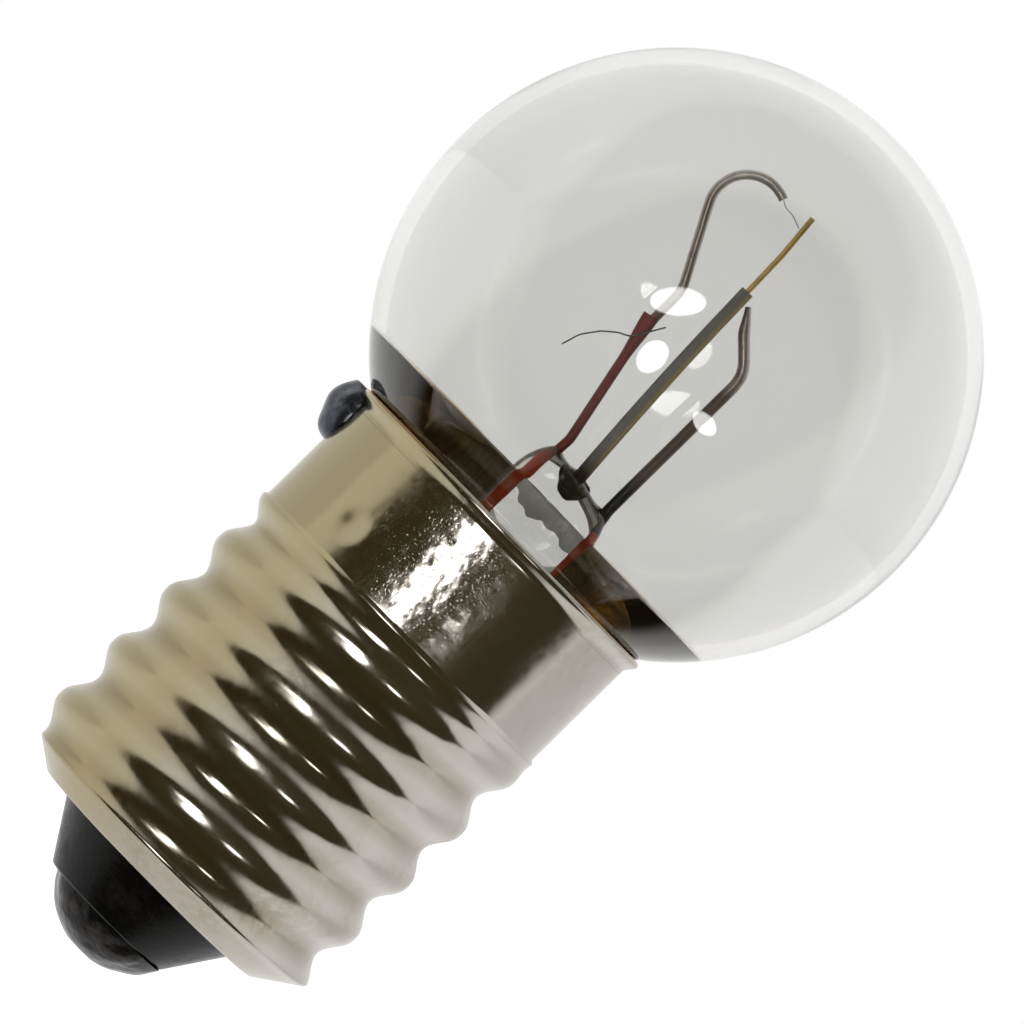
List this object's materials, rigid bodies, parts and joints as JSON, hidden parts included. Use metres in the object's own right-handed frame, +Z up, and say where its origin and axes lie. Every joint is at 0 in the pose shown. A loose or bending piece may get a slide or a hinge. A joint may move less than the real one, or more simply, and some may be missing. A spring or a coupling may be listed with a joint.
{
  "type": "miniature bulb",
  "caption": "Clear glass globe lamp in a rolled screw cap. A bimetal blade inside bends away from its contact as it warms, which breaks the filament's current and makes the lamp flash.",
  "frame": {"origin": "tip of the centre contact, on the lamp's axis", "axes": "+Z up the lamp's axis to the top of the globe, +X towards the side of the contact wire, away from the side solder"},
  "size_m": [0.015, 0.015, 0.028],
  "materials": {
    "clear_glass": "clear, blown",
    "bead_glass": "clear, melted",
    "nickel_plate": "bright nickel plate on brass sheet",
    "cement": "matt, brown",
    "solder": "dark, glossy solder",
    "black_glass": "opaque black, glossy",
    "brass": "plain brass",
    "copper_clad_wire": "red, borated copper cladding",
    "nickel_wire": "drawn",
    "dark_wire": "heat-darkened",
    "bimetal": "rolled strip, one face grey and one yellow",
    "tungsten": "drawn"
  },
  "bodies": {
    "lamp": {"glass_envelope": "clear_glass", "screw_shell": "nickel_plate", "basing_cement": "cement", "side_solder": "solder", "base_insulator": "black_glass", "contact_eyelet": "brass", "contact_solder": "solder", "bead": "bead_glass", "left_lead": "copper_clad_wire", "right_lead": "copper_clad_wire", "hook_support": "nickel_wire", "contact_wire": "dark_wire", "filament": "tungsten"},
    "blade": {"bimetal_blade": "bimetal", "filament_post": "brass"}
  },
  "joints": [
    {"name": "blade_bend", "type": "hinge", "parent": "lamp", "child": "blade", "pos_m": [0.0005, 0, 0.0165], "axis": [0, -1, 0], "range_deg": [0, 2], "stiffness_Nm_per_rad": 0.0054, "deforming": ["filament"]}
  ]
}
